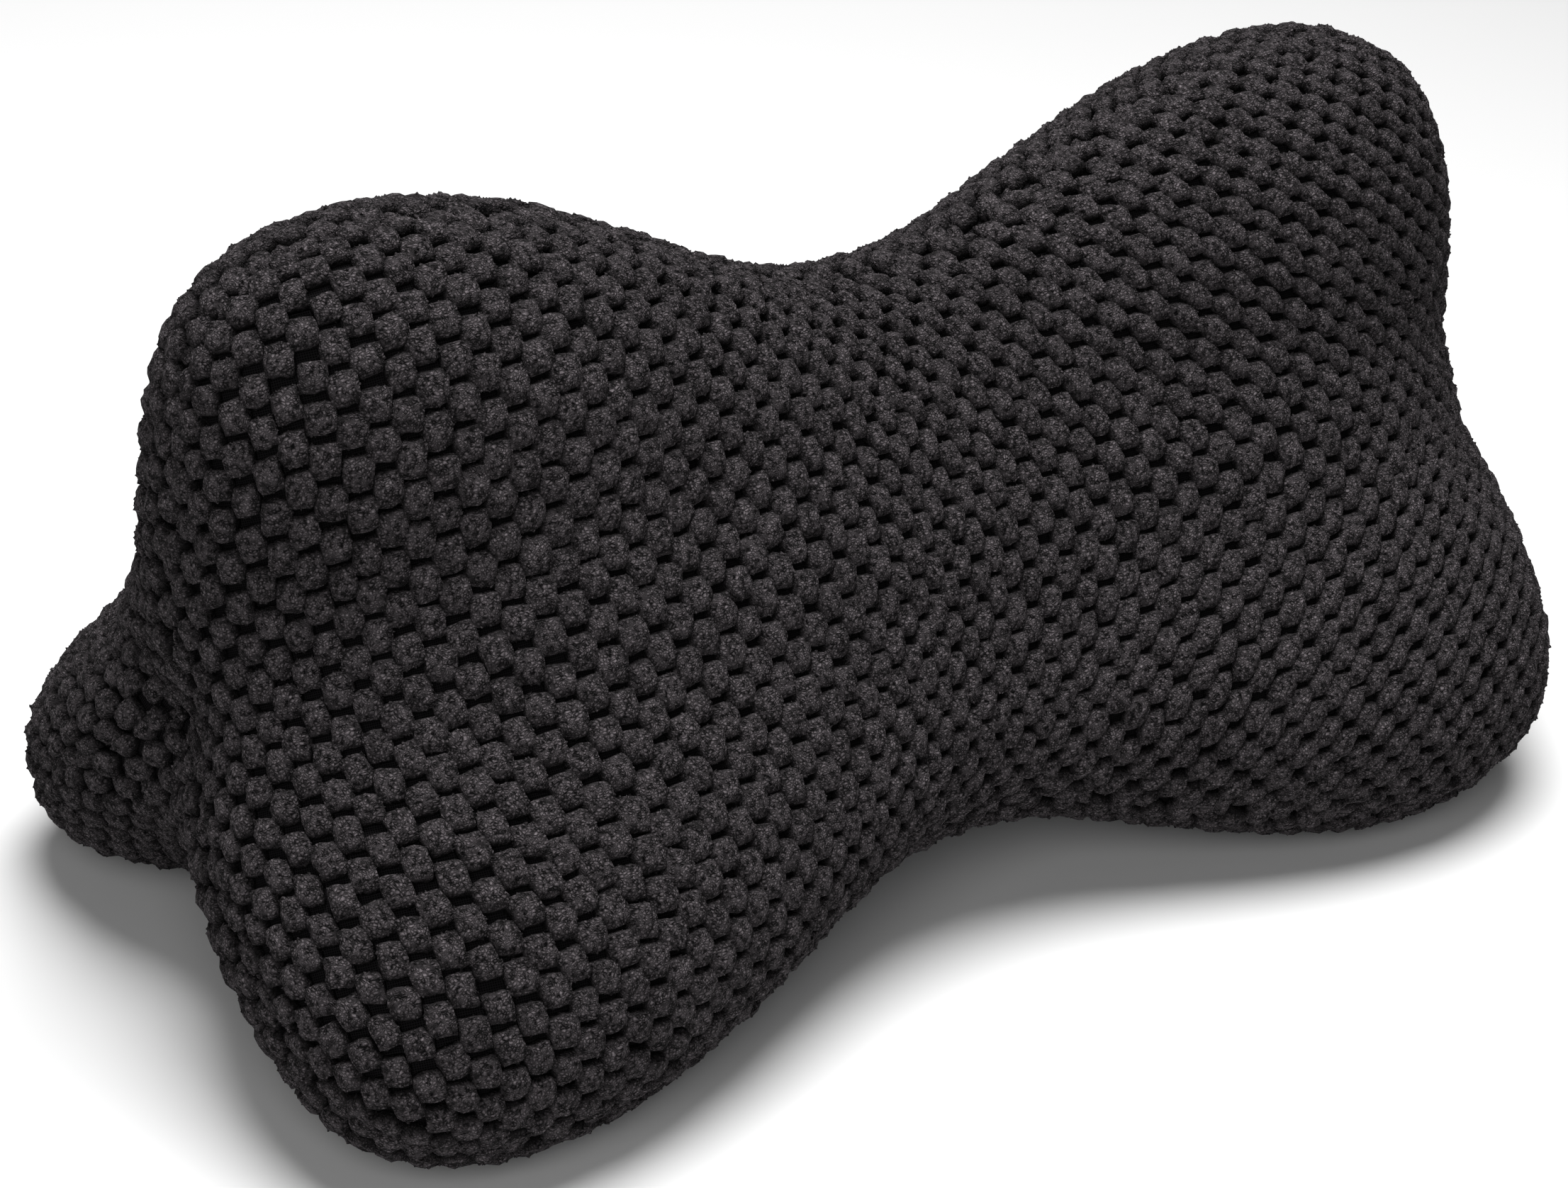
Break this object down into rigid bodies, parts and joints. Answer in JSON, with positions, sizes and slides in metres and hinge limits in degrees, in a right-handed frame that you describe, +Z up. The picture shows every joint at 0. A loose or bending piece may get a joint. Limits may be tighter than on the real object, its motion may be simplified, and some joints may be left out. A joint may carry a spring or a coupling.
{
  "type": "bone neck pillow",
  "caption": "Stuffed bone-shaped neck pillow with a slim waist and three rounded lobes at each end, in a chunky chenille knit.",
  "frame": {"origin": "middle of the underside of the pillow's box, on the surface that it lies on", "axes": "+X along the pillow's length, +Z up through the pair of lobes that points up, +Y to the rear lobes"},
  "size_m": [0.3408, 0.1858, 0.1643],
  "materials": {
    "cloth": "charcoal chenille knit, raised tufts in a checkerboard over a plain dark ground, fully matte"
  },
  "bodies": {
    "root": {"pillow": "cloth"}
  },
  "joints": []
}
